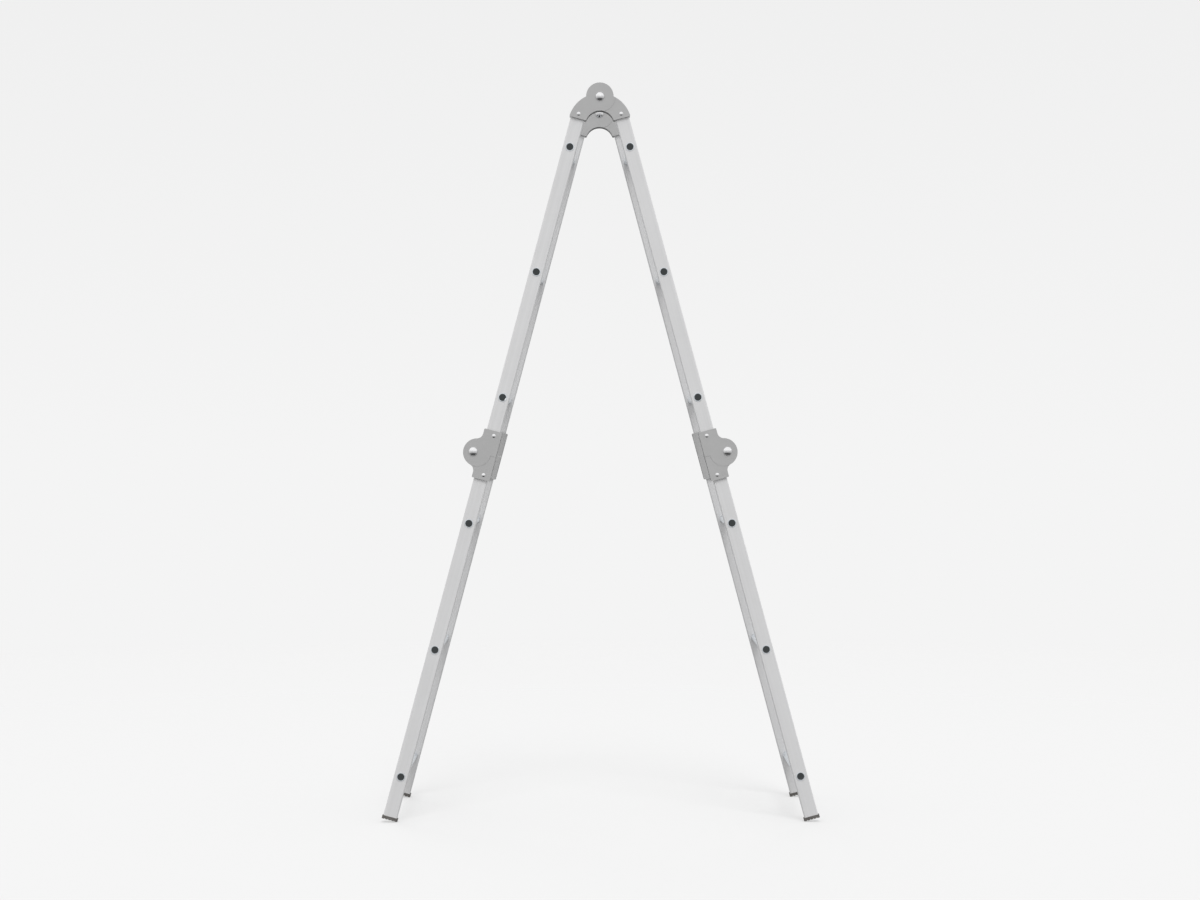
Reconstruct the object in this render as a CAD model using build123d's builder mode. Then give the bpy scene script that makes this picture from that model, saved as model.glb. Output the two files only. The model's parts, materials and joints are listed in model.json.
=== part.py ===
from build123d import *
import os
from math import cos, hypot, radians, sin, tan

os.makedirs("parts", exist_ok=True)

# A ladder of four sections with three rungs each, standing as an A-frame. Millimetres and degrees.
# X runs across the A, Y along the rungs, Z up. "Along" is measured down the stiles from the top pivots.

# Stance
lean = 15.0  # each pair of sections, from upright
splay = 2.4  # each stile, outward within its section
section = 810.0  # top pivot to knee pivot
lower_section = 807.0  # knee pivot to sole
top_half_width = 153.5  # middle of the ladder to the middle of a top hinge

# Stiles and rungs
stile_width = 30.0
stile_depth = 20.0
stile_wall = 1.6
stile_corner = 2.5
rung_pitch = 280.0
first_rung = 122.0
rungs_per_section = 3
rung_radius = 8.6
rung_bore = 7.6
rim_radius = 9.4  # the flared end, on the outer face of the stile
rim_thickness = 0.8
rim_round = 0.3
flute_count = 12
flute_radius = 1.0
flute_depth = 0.4
flute_end_margin = 24.0  # plain tube from the middle of the stile to the first flute
fixed_clearance = 0.05  # round pieces that are swaged in place

# Feet
sole_thickness = 7.0
foot_margin = 2.0
foot_corner = 3.0
plug_length = 30.0
plug_clearance = 0.15
tread_grooves = 4
groove_width = 1.6
groove_depth = 1.5

# Hinge plates
plate = 2.5
layer_gap = 0.3
seam = 0.3  # between the two leaves, edge to edge
end_corner = 2.0
top_offset = 34.5  # pivot to the middle of the stile
top_stile_start = 40.5  # pivot to the cut end of the stile
top_leg_end = 58.3
top_rivet = 48.4
arch_drop = 62.4  # top pivot to the centre of the arch
arch_outer = 68.7
arch_inner = 31.4
top_lobe = 29.6
top_cover = 33.8  # the covering leaf's reach over the other one, under the pivot
knee_offset = 31.0
knee_stile_start = 37.5
knee_leg_end = 54.0
knee_rivet = 43.5
knee_rivet_shift = 3.5  # from the middle of the stile, toward the other pair
knee_leg_near = 11.0  # pivot to the near edge of the leg
knee_leg_far = 50.5
knee_lobe = 30.0
knee_lobe_shift = 8.6
knee_web = 14.0
hub_top = -2.0  # a knee leg's web starts here, behind the covering leaf's lobe

# Pivots and rivets
pin_radius = 6.0
pin_clearance = 0.05
pin_head = 9.75
pin_rim = 0.8
pin_rise = 6.0
bush_radius = 9.0
rivet_radius = 2.5
rivet_head = 4.0
rivet_rim = 0.4
rivet_rise = 2.0

# Locks: a bar across the hinge drops into notches in the rim of the covered leaf
hub_radius = 21.0
lock_angle = 60.0  # from the covering leaf's leg toward its stile
lock_openings = (0, 30, 105, 180)  # angle between the leaves where the bar drops in
bar_radius = 2.25
bar_rest = 23.6
bar_half_length = 12.6
notch_radius = 2.6
notch_bottom = 19.5
slider_front = 22.0
slider_back = 30.5
slider_half_width = 3.2
slider_half_depth = 9.5
tab_front = 24.0
tab_back = 28.0
tab_reach = 16.0
tab_half_depth = 6.0
seat_front = 37.5
seat_back = 41.0
seat_half_width = 3.5
spigot_radius = 1.3
spigot_length = 3.0
spring_radius = 2.3
spring_wire = 0.4
spring_turns = 4

# Worked out
drift = tan(radians(splay))
half_stile = stile_depth / 2 / cos(radians(splay))
covered_inner = stile_depth / 2
covered_outer = covered_inner + plate
covering_inner = covered_outer + layer_gap
hinge_half_depth = covering_inner + plate
arch_centre = (arch_drop * cos(radians(lean)), -arch_drop * sin(radians(lean)))
knee_pivot_offset = top_offset + knee_offset
top_leg_middle = (top_stile_start + top_leg_end) / 2
knee_leg_middle = (knee_stile_start + knee_leg_end) / 2
knee_half_width = top_half_width + (section - knee_leg_middle - top_leg_middle) * drift
total = section + lower_section
foot_half_width = stile_width / 2 + foot_margin
foot_half_depth = stile_depth / 2 + foot_margin
sole_lean = sin(radians(lean))
sole_tip = sin(radians(splay)) * cos(radians(lean))
sole_drop = (
    (foot_half_width - foot_corner) * sole_lean
    + (foot_half_depth - foot_corner) * sole_tip
    + foot_corner * hypot(sole_lean, sole_tip)
)
pivot_height = total * cos(radians(lean)) - top_offset * sin(radians(lean)) + sole_drop
far = 200.0  # past every hinge outline

left, right = -1, 1
front, back = -1, 1
side_names = {left: "left", right: "right"}
flank_names = {front: "front", back: "back"}


def keep(piece, name):
    """Label a finished piece and write it."""
    piece.part.label = name
    export_step(piece.part, f"parts/{name}.step")


def section_plane(side):
    """The plane of one pair of sections: x runs down the stiles, y away from the other pair."""
    down = Vector(side * sin(radians(lean)), 0, -cos(radians(lean)))
    return Plane(origin=(0, 0, pivot_height), x_dir=down, z_dir=(0, -side, 0))


def half_width(along):
    """Middle of the ladder to the middle of a stile, which is centred in its hinges' legs."""
    if along < section:
        return top_half_width + (along - top_leg_middle) * drift
    return knee_half_width + (along - section - knee_leg_middle) * drift


def hinge_half_width(along):
    """Middle of the ladder to the middle of a hinge."""
    return top_half_width if along == 0 else knee_half_width


def stile_plane(side, flank, along):
    """On a stile's middle line: z runs down the stile, x away from the other pair."""
    pair = section_plane(side)
    middle = pair.from_local_coords((along, top_offset, 0))
    down = pair.x_dir + Vector(0, flank * drift, 0)
    return Plane(origin=middle + Vector(0, flank * half_width(along), 0), x_dir=pair.y_dir, z_dir=down)


def rivet_plane(side, flank, pivot_along, toward):
    """Through a leaf's leg, on the middle of its hinge: z runs along the rungs."""
    pair = section_plane(side)
    at_top = pivot_along == 0
    along = pivot_along + toward * (top_rivet if at_top else knee_rivet)
    offset = top_offset if at_top else top_offset - knee_rivet_shift
    middle = pair.from_local_coords((along, offset, 0))
    outward = Vector(0, flank * hinge_half_width(pivot_along), 0)
    return Plane(origin=middle + outward, x_dir=pair.x_dir, z_dir=pair.z_dir)


def leaf_plane(side, flank, along, toward):
    """At a pivot: x runs along the leaf's leg, down (1) or up (-1) the stile, and y toward the stile."""
    pair = section_plane(side)
    at_top = along == 0
    pivot_offset = 0 if at_top else knee_pivot_offset
    facing = 1 if at_top else -1
    middle = pair.from_local_coords((along, pivot_offset, 0))
    outward = Vector(0, flank * hinge_half_width(along), 0)
    return Plane(origin=middle + outward, x_dir=pair.x_dir * toward, z_dir=pair.z_dir * toward * facing)


def lock_plane(leaf):
    """At a pivot: x runs along the lock bar's travel."""
    angle = radians(lock_angle)
    travel = leaf.x_dir * cos(angle) + leaf.y_dir * sin(angle)
    return Plane(origin=leaf.origin, x_dir=travel, z_dir=leaf.z_dir)


def section_rungs(upper):
    """Places of one section's rungs along the stiles."""
    first = 0 if upper else rungs_per_section
    return [first_rung + rung_pitch * number for number in range(first, first + rungs_per_section)]


def section_hinges(upper):
    """Where a section meets its hinges: each pivot's place and its leg's way along the stile."""
    return [(0, 1), (section, -1)] if upper else [(section, 1)]


def stile(side, flank, upper):
    """A hollow rail, holed for its rungs and for the rivets of its hinges."""
    start = top_stile_start if upper else section + knee_stile_start
    end = section - knee_stile_start if upper else total - sole_thickness
    pair = section_plane(side)
    with BuildPart() as rail:
        with BuildSketch(stile_plane(side, flank, start)):
            RectangleRounded(stile_width, stile_depth, stile_corner)
            RectangleRounded(
                stile_width - 2 * stile_wall,
                stile_depth - 2 * stile_wall,
                stile_corner - stile_wall,
                mode=Mode.SUBTRACT,
            )
        extrude(amount=(end - start) / cos(radians(splay)))
        for along in section_rungs(upper):
            middle = pair.from_local_coords((along, top_offset, 0)) + Vector(0, flank * half_width(along), 0)
            with BuildSketch(Plane(origin=middle, x_dir=pair.x_dir, z_dir=pair.z_dir)):
                Circle(rung_radius + fixed_clearance)
            extrude(amount=stile_depth, both=True, mode=Mode.SUBTRACT)
        for pivot_along, toward in section_hinges(upper):
            with BuildSketch(rivet_plane(side, flank, pivot_along, toward)):
                Circle(rivet_radius + fixed_clearance)
            extrude(amount=stile_depth, both=True, mode=Mode.SUBTRACT)
    return rail


def rim_plane(side, flank, along):
    """On a stile's outer face, where a rung comes through: z points outward."""
    stile_middle = stile_plane(side, flank, along)
    through = stile_middle.origin + Vector(0, flank * (half_stile + fixed_clearance), 0)
    return Plane(origin=through, x_dir=stile_middle.x_dir, z_dir=stile_middle.y_dir * -side * flank)


def rung(side, along):
    """A fluted tube through both stiles, its ends flared over their outer faces."""
    pair = section_plane(side)
    centre = pair.from_local_coords((along, top_offset, 0))
    across = Plane(origin=centre, x_dir=pair.x_dir, z_dir=pair.z_dir)
    half_length = half_width(along) + half_stile + fixed_clearance + rim_thickness / 2
    with BuildPart() as tube:
        with BuildSketch(across):
            Circle(rung_radius)
        extrude(amount=half_length, both=True)
        for flank in (front, back):
            with BuildSketch(rim_plane(side, flank, along)):
                Circle(rim_radius)
            extrude(amount=rim_thickness)
        with BuildSketch(across):
            Circle(rung_bore)
        extrude(amount=half_length + rim_thickness, both=True, mode=Mode.SUBTRACT)
        for flank in (front, back):
            outward = rim_plane(side, flank, along)
            fillet(tube.faces().sort_by(Axis(outward.origin, outward.z_dir))[-1].edges(), radius=rim_round)
        with BuildSketch(across):
            with PolarLocations(rung_radius + flute_radius - flute_depth, flute_count):
                Circle(flute_radius)
        extrude(amount=half_width(along) - flute_end_margin, both=True, mode=Mode.SUBTRACT)
    return tube


def foot(side, flank):
    """A rubber shoe: a ribbed sole with a plug up inside the stile."""
    sole_plane = stile_plane(side, flank, total)
    groove_step = 2 * foot_half_width / (tread_grooves + 1)
    with BuildPart() as shoe:
        with BuildSketch(sole_plane):
            RectangleRounded(2 * foot_half_width, 2 * foot_half_depth, foot_corner)
        extrude(amount=-sole_thickness / cos(radians(splay)))
        with BuildSketch(sole_plane):
            RectangleRounded(
                stile_width - 2 * (stile_wall + plug_clearance),
                stile_depth - 2 * (stile_wall + plug_clearance),
                stile_corner - stile_wall - plug_clearance,
            )
        extrude(amount=-sole_thickness - plug_length)
        with BuildSketch(sole_plane):
            with GridLocations(groove_step, 0, tread_grooves, 1):
                Rectangle(groove_width, 2 * foot_half_depth)
        extrude(amount=-groove_depth, mode=Mode.SUBTRACT)
    return shoe


def leg_outline(outline, at_top):
    """A leaf's own half of the hinge: the leg over the stile and its way to the pivot."""
    if at_top:
        with Locations(arch_centre):
            Circle(arch_outer)
        with Locations((top_leg_end, seam)):
            Rectangle(far, far, align=(Align.MAX, Align.MIN), mode=Mode.INTERSECT)
        with Locations(arch_centre):
            Circle(arch_inner, mode=Mode.SUBTRACT)
    else:
        with Locations((0, knee_lobe_shift)):
            Circle(knee_lobe)
        with Locations((seam, knee_leg_near)):
            Rectangle(knee_leg_end - seam, knee_leg_far - knee_leg_near, align=(Align.MIN, Align.MIN))
        corner = outline.vertices().sort_by_distance((knee_lobe, knee_leg_near))[0]
        fillet(corner, radius=knee_web)
        with Locations((seam, hub_top)):
            Rectangle(far, far, align=(Align.MIN, Align.MIN), mode=Mode.INTERSECT)
    fillet(outline.vertices().sort_by(Axis.X)[-2:], radius=end_corner)


def cover_outline(at_top):
    """The round about a pivot, where the covering leaf lies over the other one."""
    if at_top:
        Circle(top_cover)
        with Locations(arch_centre):
            Circle(arch_outer, mode=Mode.INTERSECT)
        Circle(top_lobe)
        with Locations(arch_centre):
            Circle(arch_inner, mode=Mode.SUBTRACT)
    else:
        with Locations((0, knee_lobe_shift)):
            Circle(knee_lobe)


def open_middle(leaf, slope, inner, at_top):
    """Part the two plates: clear of the other leaf about the pivot, and close on the stile along the leg."""
    start = top_stile_start if at_top else knee_stile_start
    leg_middle = top_leg_middle if at_top else knee_leg_middle
    start_drift = slope * (start - leg_middle)
    far_drift = slope * (far - leg_middle)
    with BuildSketch(Plane(origin=leaf.origin, x_dir=leaf.x_dir, z_dir=-leaf.y_dir)) as gap:
        with BuildLine():
            Polyline(
                (-far, -inner),
                (start, -inner),
                (start, start_drift - half_stile),
                (far, far_drift - half_stile),
                (far, far_drift + half_stile),
                (start, start_drift + half_stile),
                (start, inner),
                (-far, inner),
                close=True,
            )
        make_face()
    extrude(gap.sketch, amount=far, both=True, mode=Mode.SUBTRACT)


def leg_hole(side, flank, along, toward):
    """The hole of a leaf's rivet."""
    with BuildSketch(rivet_plane(side, flank, along, toward)) as hole:
        Circle(rivet_radius + fixed_clearance)
    extrude(hole.sketch, amount=2 * stile_depth, both=True, mode=Mode.SUBTRACT)


def leaf_slope(leaf, flank, toward):
    """How the stile's middle drifts off the hinge's, along the leg."""
    return flank * toward * drift * leaf.z_dir.Y


def covering_leaf(side, flank, along, toward):
    """The leaf outside the other one: it holds the pin and carries the lock's spring seat."""
    leaf = leaf_plane(side, flank, along, toward)
    at_top = along == 0
    lock = lock_plane(leaf)
    seat_face = Plane(origin=lock.from_local_coords((seat_front, 0, 0)), z_dir=-lock.x_dir)
    with BuildPart() as cheeks:
        with BuildSketch(leaf) as outline:
            leg_outline(outline, at_top)
        extrude(amount=hinge_half_depth, both=True)
        with BuildSketch(leaf):
            cover_outline(at_top)
        extrude(amount=hinge_half_depth, both=True)
        open_middle(leaf, leaf_slope(leaf, flank, toward), covering_inner, at_top)
        with BuildSketch(lock):
            with Locations((seat_front, 0)):
                Rectangle(seat_back - seat_front, 2 * seat_half_width, align=(Align.MIN, Align.CENTER))
        extrude(amount=covering_inner, both=True)
        with BuildSketch(seat_face):
            Circle(spigot_radius)
        extrude(amount=spigot_length)
        with BuildSketch(leaf):
            Circle(pin_radius)
        extrude(amount=2 * stile_depth, both=True, mode=Mode.SUBTRACT)
        leg_hole(side, flank, along, toward)
    return cheeks


def covered_leaf(side, flank, along, toward):
    """The leaf between the covering plates: it turns on the pin, with a notched rim.

    Its leg is doubled outside the covering plates' reach, so that both legs lie flush.
    """
    leaf = leaf_plane(side, flank, along, toward)
    at_top = along == 0
    cover_radius = top_cover if at_top else knee_lobe
    cover_shift = 0 if at_top else knee_lobe_shift
    with BuildPart() as cheeks:
        with BuildSketch(leaf) as outline:
            leg_outline(outline, at_top)
            Circle(hub_radius)
        extrude(amount=covered_outer, both=True)
        with BuildSketch(leaf) as doubler:
            leg_outline(doubler, at_top)
            with Locations((0, cover_shift)):
                Circle(cover_radius + seam, mode=Mode.SUBTRACT)
        extrude(amount=hinge_half_depth, both=True)
        open_middle(leaf, leaf_slope(leaf, flank, toward), covered_inner, at_top)
        with BuildSketch(leaf):
            Circle(bush_radius)
        extrude(amount=covered_inner, both=True)
        with BuildSketch(leaf):
            Circle(pin_radius + pin_clearance)
            for opening in lock_openings:
                with PolarLocations(notch_bottom, 1, start_angle=-opening - lock_angle):
                    Circle(notch_radius)
                    Rectangle(hub_radius, 2 * notch_radius, align=(Align.MIN, Align.CENTER))
        extrude(amount=2 * stile_depth, both=True, mode=Mode.SUBTRACT)
        leg_hole(side, flank, along, toward)
    return cheeks


def domed_pin(axis, radius, half_grip, head, rim, rise):
    """A pin along the plane's z, domed at both ends."""
    with BuildSketch(Plane(origin=axis.origin, x_dir=axis.x_dir, z_dir=-axis.y_dir)) as profile:
        with BuildLine():
            Polyline(
                (0, half_grip + rise),
                (0, 0),
                (radius, 0),
                (radius, half_grip),
                (head, half_grip),
                (head, half_grip + rim),
            )
            TangentArc((0, half_grip + rise), (head, half_grip + rim), tangent=(1, 0))
        make_face()
        mirror(about=Plane.XZ)
    revolve(profile.sketch, axis=Axis(axis.origin, axis.z_dir))


def pivot(side, flank, along, toward):
    """The riveted hinge pin, with a large domed head on each face."""
    leaf = leaf_plane(side, flank, along, toward)
    with BuildPart() as pin:
        domed_pin(leaf, pin_radius, hinge_half_depth, pin_head, pin_rim, pin_rise)
    return pin


def lock_slider(side, flank, along, toward):
    """The lock bar on its slider, with a finger tab between the plates. Drawn back, out of the notches."""
    lock = lock_plane(leaf_plane(side, flank, along, toward))
    with BuildPart() as slider:
        with BuildSketch(lock):
            with Locations((slider_front, 0)):
                Rectangle(
                    slider_back - slider_front, 2 * slider_half_width, align=(Align.MIN, Align.CENTER)
                )
        extrude(amount=slider_half_depth, both=True)
        with BuildSketch(lock):
            with Locations((bar_rest, 0)):
                Circle(bar_radius)
        extrude(amount=bar_half_length, both=True)
        with BuildSketch(lock):
            with Locations((tab_front, 0)):
                Rectangle(tab_back - tab_front, tab_reach, align=(Align.MIN, Align.MAX))
        extrude(amount=tab_half_depth, both=True)
    return slider


def lock_spring(side, flank, along, toward):
    """The coil that pushes the slider at the pin."""
    lock = lock_plane(leaf_plane(side, flank, along, toward))
    height = seat_front - slider_back - 4 * spring_wire
    start = lock.from_local_coords((slider_back + 2 * spring_wire, 0, 0))
    with BuildPart() as coil:
        with BuildLine() as path:
            Helix(height / spring_turns, height, spring_radius, center=start, direction=lock.x_dir)
        with BuildSketch(Plane(origin=path.line @ 0, z_dir=path.line % 0)):
            Circle(spring_wire)
        sweep(is_frenet=True)
    return coil


def rivets(side, upper):
    """One section's hinge rivets, each through the plates and the stile."""
    with BuildPart() as group:
        for pivot_along, toward in section_hinges(upper):
            for flank in (front, back):
                place = rivet_plane(side, flank, pivot_along, toward)
                domed_pin(place, rivet_radius, hinge_half_depth, rivet_head, rivet_rim, rivet_rise)
    return group


def make_section(side, upper):
    """Two stiles, three rungs and the section's rivets."""
    name = f"{side_names[side]}_{'upper' if upper else 'lower'}"
    for flank in (front, back):
        keep(stile(side, flank, upper), f"{name}_{flank_names[flank]}_stile")
    for number, along in enumerate(section_rungs(upper), start=1):
        keep(rung(side, along), f"{name}_rung_{number}")
    keep(rivets(side, upper), f"{name}_hinge_rivets")


def make_hinge(name, flank, along, covering, covered):
    """Two leaves, the pin, the lock and its spring. Each leaf is given as its side and its leg's way."""
    name = f"{name}_{flank_names[flank]}"
    covering_side, covering_toward = covering
    covered_side, covered_toward = covered
    keep(covering_leaf(covering_side, flank, along, covering_toward), f"{name}_covering_leaf")
    keep(covered_leaf(covered_side, flank, along, covered_toward), f"{name}_covered_leaf")
    keep(pivot(covering_side, flank, along, covering_toward), f"{name}_pivot")
    keep(lock_slider(covering_side, flank, along, covering_toward), f"{name}_lock_slider")
    keep(lock_spring(covering_side, flank, along, covering_toward), f"{name}_lock_spring")


for side in (left, right):
    for upper in (True, False):
        make_section(side, upper)
for flank in (front, back):
    make_hinge("top_hinge", flank, 0, (left, 1), (right, 1))
    make_hinge("left_knee", flank, section, (left, -1), (left, 1))
    make_hinge("right_knee", flank, section, (right, -1), (right, 1))
    for side in (left, right):
        keep(foot(side, flank), f"{side_names[side]}_{flank_names[flank]}_foot")
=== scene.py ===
"""Multi position ladder standing as an A-frame: finishes for the CAD pieces, a pale studio and a camera."""
import bpy
import bmesh
import json
import math
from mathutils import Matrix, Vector

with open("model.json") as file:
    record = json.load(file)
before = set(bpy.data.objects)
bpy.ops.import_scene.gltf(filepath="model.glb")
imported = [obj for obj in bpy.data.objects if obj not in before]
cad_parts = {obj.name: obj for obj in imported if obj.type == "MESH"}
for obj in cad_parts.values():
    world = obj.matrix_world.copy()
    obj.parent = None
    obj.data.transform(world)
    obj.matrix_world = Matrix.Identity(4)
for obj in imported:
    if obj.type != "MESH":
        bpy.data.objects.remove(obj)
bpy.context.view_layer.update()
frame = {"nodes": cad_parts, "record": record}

MM = 0.001
METAL_SPECULAR = 0.5  # the shader's own default
NOISE_SPAN = (0.3, 0.7)  # where nearly all of a noise's values lie

# Rungs
BORE_SHARE = 0.82  # of a rung's width over its flared ends
# Inside the bores: painted shade and a faint painted glow
BORE_PAINTED_SHADE = (0.09, 0.092, 0.095)
BORE_PAINTED_GLOW = (0.047, 0.051, 0.052)  # painted glow, for the light the long tube still sends back

# Painted shade on the cut edges of the hinge plates
EDGE_SHADE_DARK = (0.10, 0.098, 0.095)
EDGE_SHADE_LIGHT = (0.22, 0.217, 0.213)
EDGE_SPECULAR = 0.05
FACE_COSINE = 0.7  # a surface nearer to facing along Y than this is a plate's face

# Studio
FLOOR_RADIUS = 6.0  # metres, like the fade
FLOOR_FADE_START = 1.2
FLOOR_FADE_END = FLOOR_RADIUS * 0.9
FLOOR_MATT = 0.27
FLOOR_GLOW = 0.51
BACKDROP_HORIZON = 0.905
BACKDROP_ABOVE = 0.87
BACKDROP_RISE = 0.16  # sine of the angle above the horizon where the upper grey is reached
# Grey levels for the metal to reflect, from straight down to straight up
SKY_STOPS = ((0.0, 0.05), (0.15, 0.08), (0.30, 0.50), (0.44, 0.64), (0.56, 0.72), (0.64, 1.0))

# Camera
SENSOR_WIDTH = 36.0  # millimetres
FOCAL_LENGTH = 83.85  # millimetres
CAMERA_PLACE = (-0.020, -6.195, 0.7948)  # metres
CAMERA_TURN = (90, 0.07, -0.184)  # degrees


# Node helpers

class Graph:
    """A material's or world's node tree, with short calls for adding and linking nodes."""

    def __init__(self, tree):
        self.tree = tree
        tree.nodes.clear()

    def add(self, kind, **settings):
        node = self.tree.nodes.new(kind)
        for name, value in settings.items():
            setattr(node, name, value)
        return node

    def link(self, output, target):
        self.tree.links.new(output, target)

    def coordinates(self, direction=None, stretch=(1, 1, 1)):
        """Object coordinates turned so that direction is Z, then scaled by stretch.

        For a noise, stretch is its cells per metre.
        """
        source = self.add("ShaderNodeTexCoord").outputs["Object"]
        if direction is not None:
            turn = self.add("ShaderNodeMapping")
            to_z = direction.rotation_difference(Vector((0, 0, 1)))
            turn.inputs["Rotation"].default_value = to_z.to_euler()
            self.link(source, turn.inputs["Vector"])
            source = turn.outputs["Vector"]
        scale = self.add("ShaderNodeMapping")
        scale.inputs["Scale"].default_value = stretch
        self.link(source, scale.inputs["Vector"])
        return scale.outputs["Vector"]

    def noise(self, vector, detail=3.0, roughness=0.5):
        node = self.add("ShaderNodeTexNoise")
        node.inputs["Scale"].default_value = 1.0
        node.inputs["Detail"].default_value = detail
        node.inputs["Roughness"].default_value = roughness
        self.link(vector, node.inputs["Vector"])
        return node.outputs["Fac"]

    def remap(self, value, low, high, to_low=0.0, to_high=1.0):
        node = self.add("ShaderNodeMapRange")
        node.inputs["From Min"].default_value = low
        node.inputs["From Max"].default_value = high
        node.inputs["To Min"].default_value = to_low
        node.inputs["To Max"].default_value = to_high
        self.link(value, node.inputs["Value"])
        return node.outputs["Result"]

    def spread(self, noise, to_low, to_high):
        """Stretch a noise over a range."""
        return self.remap(noise, *NOISE_SPAN, to_low, to_high)

    def fill(self, socket, value):
        """Set a socket to a plain value, or link another node's output to it."""
        if isinstance(value, bpy.types.NodeSocket):
            self.link(value, socket)
        else:
            socket.default_value = value

    def mix(self, factor, first, second):
        """Mix of two colours; each is a colour or another node's output."""
        node = self.add("ShaderNodeMix", data_type="RGBA")
        self.link(factor, node.inputs["Factor"])
        for socket, value in ((node.inputs["A"], first), (node.inputs["B"], second)):
            self.fill(socket, (*value, 1) if isinstance(value, tuple) else value)
        return node.outputs["Result"]

    def maths(self, operation, first, second=0.0):
        node = self.add("ShaderNodeMath", operation=operation)
        self.fill(node.inputs[0], first)
        self.fill(node.inputs[1], second)
        return node.outputs["Value"]

    def bump(self, height, distance, under=None):
        node = self.add("ShaderNodeBump")
        node.inputs["Strength"].default_value = 1.0
        node.inputs["Distance"].default_value = distance
        self.link(height, node.inputs["Height"])
        if under is not None:
            self.link(under, node.inputs["Normal"])
        return node.outputs["Normal"]


def grey(level):
    return (level, level, level)


def principled(name, metallic, **settings):
    """A material with one Principled shader: (material, graph, shader)."""
    material = bpy.data.materials.new(name)
    material.use_nodes = True
    graph = Graph(material.node_tree)
    shader = graph.add("ShaderNodeBsdfPrincipled")
    output = graph.add("ShaderNodeOutputMaterial")
    graph.link(shader.outputs["BSDF"], output.inputs["Surface"])
    shader.inputs["Metallic"].default_value = metallic
    for socket, value in settings.items():
        shader.inputs[socket.replace("_", " ")].default_value = value
    return material, graph, shader


# Materials

def bore_mask(graph):
    """1 inside a rung's bore, which runs along Y through the middle of the piece."""
    middle = graph.add("ShaderNodeMapping")
    middle.inputs["Scale"].default_value = (1, 0, 1)
    middle.inputs["Location"].default_value = (-0.5, 0, -0.5)
    graph.link(graph.add("ShaderNodeTexCoord").outputs["Generated"], middle.inputs["Vector"])
    radius = graph.add("ShaderNodeVectorMath", operation="LENGTH")
    graph.link(middle.outputs["Vector"], radius.inputs[0])
    return graph.maths("LESS_THAN", radius.outputs["Value"], BORE_SHARE / 2)


def drawn_aluminium(name, direction, metallic, light, dark, rough, bored=False):
    """Satin extruded aluminium: fine lines and faint die marks along direction, and soft handling marks.

    A bored piece is painted dull and dark inside for the tube's shade, with a faint painted glow.
    """
    material, graph, shader = principled(name, metallic)
    lines = graph.noise(graph.coordinates(direction, (1400, 1400, 9)), detail=2.0)
    die_marks = graph.noise(graph.coordinates(direction, (230, 230, 0.7)), detail=2.0)
    cloud = graph.noise(graph.coordinates(None, (9, 9, 9)), detail=4.0, roughness=0.6)
    scuffs = graph.noise(graph.coordinates(direction, (60, 60, 22)), detail=6.0, roughness=0.7)
    marked = graph.spread(die_marks, 0.0, 0.45)
    clouded = graph.spread(cloud, 0.0, 0.35)
    tone = graph.maths("ADD", marked, clouded)
    tone = graph.maths("ADD", tone, graph.spread(lines, 0.0, 0.2))
    colour = graph.mix(tone, dark, light)
    if bored:
        # painted shade and glow: the bore is made dark and dull, and glows faintly for the light the tube
        # sends back
        inside = bore_mask(graph)
        outside = graph.maths("SUBTRACT", 1.0, inside)
        colour = graph.mix(inside, colour, BORE_PAINTED_SHADE)
        graph.link(outside, shader.inputs["Metallic"])
        graph.link(graph.maths("MULTIPLY", outside, METAL_SPECULAR), shader.inputs["Specular IOR Level"])
        graph.link(inside, shader.inputs["Emission Strength"])
        shader.inputs["Emission Color"].default_value = (*BORE_PAINTED_GLOW, 1)
    graph.link(colour, shader.inputs["Base Color"])
    lined = graph.spread(lines, rough - 0.05, rough + 0.05)
    scuffed = graph.remap(scuffs, 0.55, 0.75, 0.0, 0.12)
    graph.link(graph.maths("ADD", lined, scuffed), shader.inputs["Roughness"])
    relief = graph.bump(die_marks, 0.04 * MM)
    graph.link(graph.bump(lines, 0.012 * MM, under=relief), shader.inputs["Normal"])
    return material


def painted_edge_shade_mask(graph):
    """1 on the cut edges of a plate whose faces point along Y, where shade is painted; 0 on its faces."""
    facing = graph.add("ShaderNodeSeparateXYZ")
    graph.link(graph.add("ShaderNodeTexCoord").outputs["Normal"], facing.inputs["Vector"])
    return graph.maths("LESS_THAN", graph.maths("ABSOLUTE", facing.outputs["Y"]), FACE_COSINE)


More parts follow.
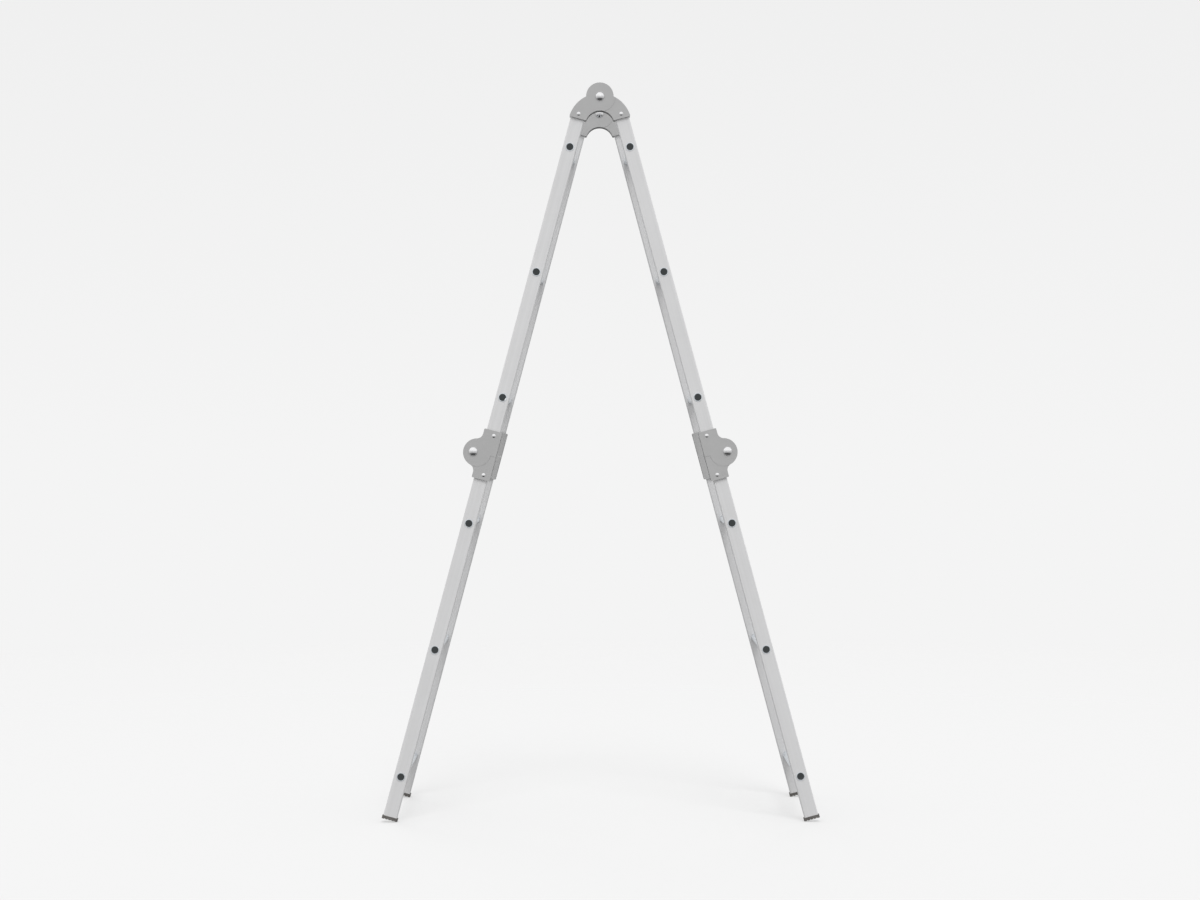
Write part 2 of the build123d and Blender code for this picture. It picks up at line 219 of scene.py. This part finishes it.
def zinc_steel(name, light, dark, rough, shaded_edges=False):
    """Satin zinc on pressed steel: fine grain, soft clouds of tone and small nicks.

    Its cut edges can be painted dull and dark, as shade.
    """
    metallic = 0.5
    material, graph, shader = principled(name, metallic)
    grain = graph.noise(graph.coordinates(None, (1500, 1500, 1500)), detail=2.0)
    spangle = graph.noise(graph.coordinates(None, (140, 140, 140)), detail=3.0)
    cloud = graph.noise(graph.coordinates(None, (28, 28, 28)), detail=4.0, roughness=0.6)
    nicks = graph.noise(graph.coordinates(None, (420, 420, 90)), detail=2.0)
    clouded = graph.spread(cloud, 0.0, 0.5)
    spangled = graph.remap(spangle, 0.35, 0.65, 0.0, 0.3)
    tone = graph.maths("ADD", clouded, spangled)
    tone = graph.maths("ADD", tone, graph.spread(grain, 0.0, 0.2))
    colour = graph.mix(tone, dark, light)
    if shaded_edges:
        # painted shade: the cut edges are made dark and dull
        edge = painted_edge_shade_mask(graph)
        colour = graph.mix(edge, colour, graph.mix(spangle, EDGE_SHADE_DARK, EDGE_SHADE_LIGHT))
        graph.link(graph.remap(edge, 0.0, 1.0, metallic, 0.0), shader.inputs["Metallic"])
        specular = graph.remap(edge, 0.0, 1.0, METAL_SPECULAR, EDGE_SPECULAR)
        graph.link(specular, shader.inputs["Specular IOR Level"])
    graph.link(colour, shader.inputs["Base Color"])
    graph.link(graph.spread(spangle, rough - 0.05, rough + 0.07), shader.inputs["Roughness"])
    relief = graph.bump(grain, 0.02 * MM)
    relief = graph.bump(graph.remap(nicks, 0.68, 0.74, 1.0, 0.0), 0.05 * MM, under=relief)
    graph.link(relief, shader.inputs["Normal"])
    return material


def bright_rivet(name, light, dark, rough):
    """A pressed bright dome: nearly polished, with faint tool marks and small scratches."""
    material, graph, shader = principled(name, 1.0)
    smear = graph.noise(graph.coordinates(None, (220, 220, 220)), detail=4.0, roughness=0.6)
    scratches = graph.noise(graph.coordinates(Vector((0.6, 0.1, 0.8)), (1600, 1600, 60)), detail=1.0)
    graph.link(graph.mix(graph.remap(smear, 0.35, 0.7), light, dark), shader.inputs["Base Color"])
    graph.link(graph.spread(smear, rough - 0.04, rough + 0.08), shader.inputs["Roughness"])
    scratched = graph.remap(scratches, 0.62, 0.7, 1.0, 0.0)
    graph.link(graph.bump(scratched, 0.01 * MM), shader.inputs["Normal"])
    return material


def foot_rubber(name):
    """Dark warm rubber: matt, fine grained and a little dusty."""
    material, graph, shader = principled(name, 0.0, Specular_IOR_Level=0.35)
    grain = graph.noise(graph.coordinates(None, (900, 900, 900)))
    dust = graph.noise(graph.coordinates(None, (90, 90, 90)), detail=6.0, roughness=0.7)
    dusty = graph.remap(dust, 0.4, 0.7)
    graph.link(graph.mix(dusty, (0.088, 0.083, 0.078), (0.150, 0.143, 0.135)), shader.inputs["Base Color"])
    graph.link(graph.spread(dust, 0.62, 0.85), shader.inputs["Roughness"])
    graph.link(graph.bump(grain, 0.08 * MM), shader.inputs["Normal"])
    return material


def stile_direction(side, flank):
    """Down a stile, from the frame's sole mounts."""
    for mount in frame["record"]["mounts"]:
        if mount["name"] == f"{side}_{flank}_sole":
            return Vector(mount["axis"])
    raise ValueError("no sole mount")


def stile_material(side, flank):
    """The aluminium of one line of stiles, drawn along it."""
    return drawn_aluminium(
        f"stile_{side}_{flank}", stile_direction(side, flank),
        metallic=0.5, light=(0.745, 0.745, 0.75), dark=(0.665, 0.665, 0.67), rough=0.5,
    )


def finish_of(node):
    """The material of a CAD node, by its name."""
    words = node.split("_")
    if node.endswith("stile"):
        return stile_finish[words[0], words[2]]
    if "rung" in words:
        return rung_finish
    if node.endswith("leaf"):
        return plate_finish
    if node.endswith("pivot") or node.endswith("rivets"):
        return rivet_finish
    if node.endswith("foot"):
        return rubber_finish
    return lock_finish


stile_finish = {
    (side, flank): stile_material(side, flank) for side in ("left", "right") for flank in ("front", "back")
}
rung_finish = drawn_aluminium(
    "rung", Vector((0, 1, 0)),
    metallic=1.0, light=(0.80, 0.84, 0.88), dark=(0.72, 0.76, 0.80), rough=0.30, bored=True,
)
plate_finish = zinc_steel("hinge_plate", light=grey(0.50), dark=grey(0.455), rough=0.5, shaded_edges=True)
lock_finish = zinc_steel("lock_steel", light=(0.52, 0.52, 0.51), dark=(0.40, 0.40, 0.39), rough=0.38)
rivet_finish = bright_rivet("rivet_dome", light=(0.92, 0.92, 0.93), dark=(0.80, 0.80, 0.81), rough=0.16)
rubber_finish = foot_rubber("foot_rubber")

for name, node in frame["nodes"].items():
    node.data.materials.clear()
    node.data.materials.append(finish_of(name))


# Studio

def floor_material():
    """Pale and matt, with a glow that keeps shadows faint, clearing toward the rim."""
    material = bpy.data.materials.new("pale_floor")
    material.use_nodes = True
    graph = Graph(material.node_tree)
    matt = graph.add("ShaderNodeBsdfDiffuse")
    matt.inputs["Color"].default_value = (*grey(FLOOR_MATT), 1)
    glow = graph.add("ShaderNodeEmission")
    glow.inputs["Color"].default_value = (*grey(FLOOR_GLOW), 1)
    both = graph.add("ShaderNodeAddShader")
    graph.link(matt.outputs["BSDF"], both.inputs[0])
    graph.link(glow.outputs["Emission"], both.inputs[1])
    clear = graph.add("ShaderNodeBsdfTransparent")
    blend = graph.add("ShaderNodeMixShader")
    output = graph.add("ShaderNodeOutputMaterial")
    distance = graph.add("ShaderNodeVectorMath", operation="LENGTH")
    graph.link(graph.coordinates(), distance.inputs[0])
    fade = graph.remap(distance.outputs["Value"], FLOOR_FADE_START, FLOOR_FADE_END)
    graph.link(fade, blend.inputs["Fac"])
    graph.link(both.outputs["Shader"], blend.inputs[1])
    graph.link(clear.outputs["BSDF"], blend.inputs[2])
    graph.link(blend.outputs["Shader"], output.inputs["Surface"])
    return material


def pale_floor():
    """A round floor that fades out into the background and lights nothing."""
    mesh = bpy.data.meshes.new("floor")
    shape = bmesh.new()
    bmesh.ops.create_circle(shape, cap_ends=True, segments=96, radius=FLOOR_RADIUS)
    shape.to_mesh(mesh)
    shape.free()
    floor = bpy.data.objects.new("floor", mesh)
    bpy.context.scene.collection.objects.link(floor)
    mesh.materials.append(floor_material())
    floor.visible_diffuse = False
    floor.visible_glossy = False


def ramp(graph, value, stops):
    """Grey levels by value: each stop is a place and its level."""
    node = graph.add("ShaderNodeValToRGB")
    elements = node.color_ramp.elements
    while len(elements) < len(stops):
        elements.new(1.0)
    for element, (place, level) in zip(elements, stops):
        element.position = place
        element.color = (*grey(level), 1)
    graph.link(value, node.inputs["Fac"])
    return node.outputs["Color"]


def soft_world():
    """White above, grey at the horizon and dark below for the metal to reflect; pale behind the ladder."""
    world = bpy.data.worlds.new("studio")
    world.use_nodes = True
    bpy.context.scene.world = world
    graph = Graph(world.node_tree)
    direction = graph.add("ShaderNodeSeparateXYZ")
    graph.link(graph.add("ShaderNodeTexCoord").outputs["Generated"], direction.inputs["Vector"])
    height = graph.remap(direction.outputs["Z"], -1.0, 1.0)
    lit = graph.add("ShaderNodeBackground")
    graph.link(ramp(graph, height, SKY_STOPS), lit.inputs["Color"])
    seen = graph.add("ShaderNodeBackground")
    rise = graph.remap(direction.outputs["Z"], 0.0, BACKDROP_RISE)
    graph.link(graph.mix(rise, grey(BACKDROP_HORIZON), grey(BACKDROP_ABOVE)), seen.inputs["Color"])
    rays = graph.add("ShaderNodeLightPath")
    choice = graph.add("ShaderNodeMixShader")
    output = graph.add("ShaderNodeOutputWorld")
    graph.link(rays.outputs["Is Camera Ray"], choice.inputs["Fac"])
    graph.link(lit.outputs["Background"], choice.inputs[1])
    graph.link(seen.outputs["Background"], choice.inputs[2])
    graph.link(choice.outputs["Shader"], output.inputs["Surface"])


def soft_sun(name, place, strength, spread):
    """An even light from one side of the sky, wide enough for soft shadows."""
    light = bpy.data.lights.new(name, "SUN")
    light.energy = strength
    light.angle = math.radians(spread)
    lamp = bpy.data.objects.new(name, light)
    lamp.rotation_euler = Vector(place).to_track_quat("Z", "Y").to_euler()
    lamp.visible_glossy = False
    bpy.context.scene.collection.objects.link(lamp)


def make_camera():
    """Level, looking along the rungs from the front, at half the ladder's height."""
    data = bpy.data.cameras.new("camera")
    data.sensor_width = SENSOR_WIDTH
    data.lens = FOCAL_LENGTH
    camera = bpy.data.objects.new("camera", data)
    camera.location = CAMERA_PLACE
    camera.rotation_euler = [math.radians(angle) for angle in CAMERA_TURN]
    bpy.context.scene.collection.objects.link(camera)
    bpy.context.scene.camera = camera


pale_floor()
soft_world()
soft_sun("key", (0.1, -0.8, 1.0), strength=1.7, spread=25)
soft_sun("behind", (-0.2, 0.9, 1.0), strength=0.5, spread=25)
make_camera()
bpy.context.scene.view_settings.view_transform = "Standard"
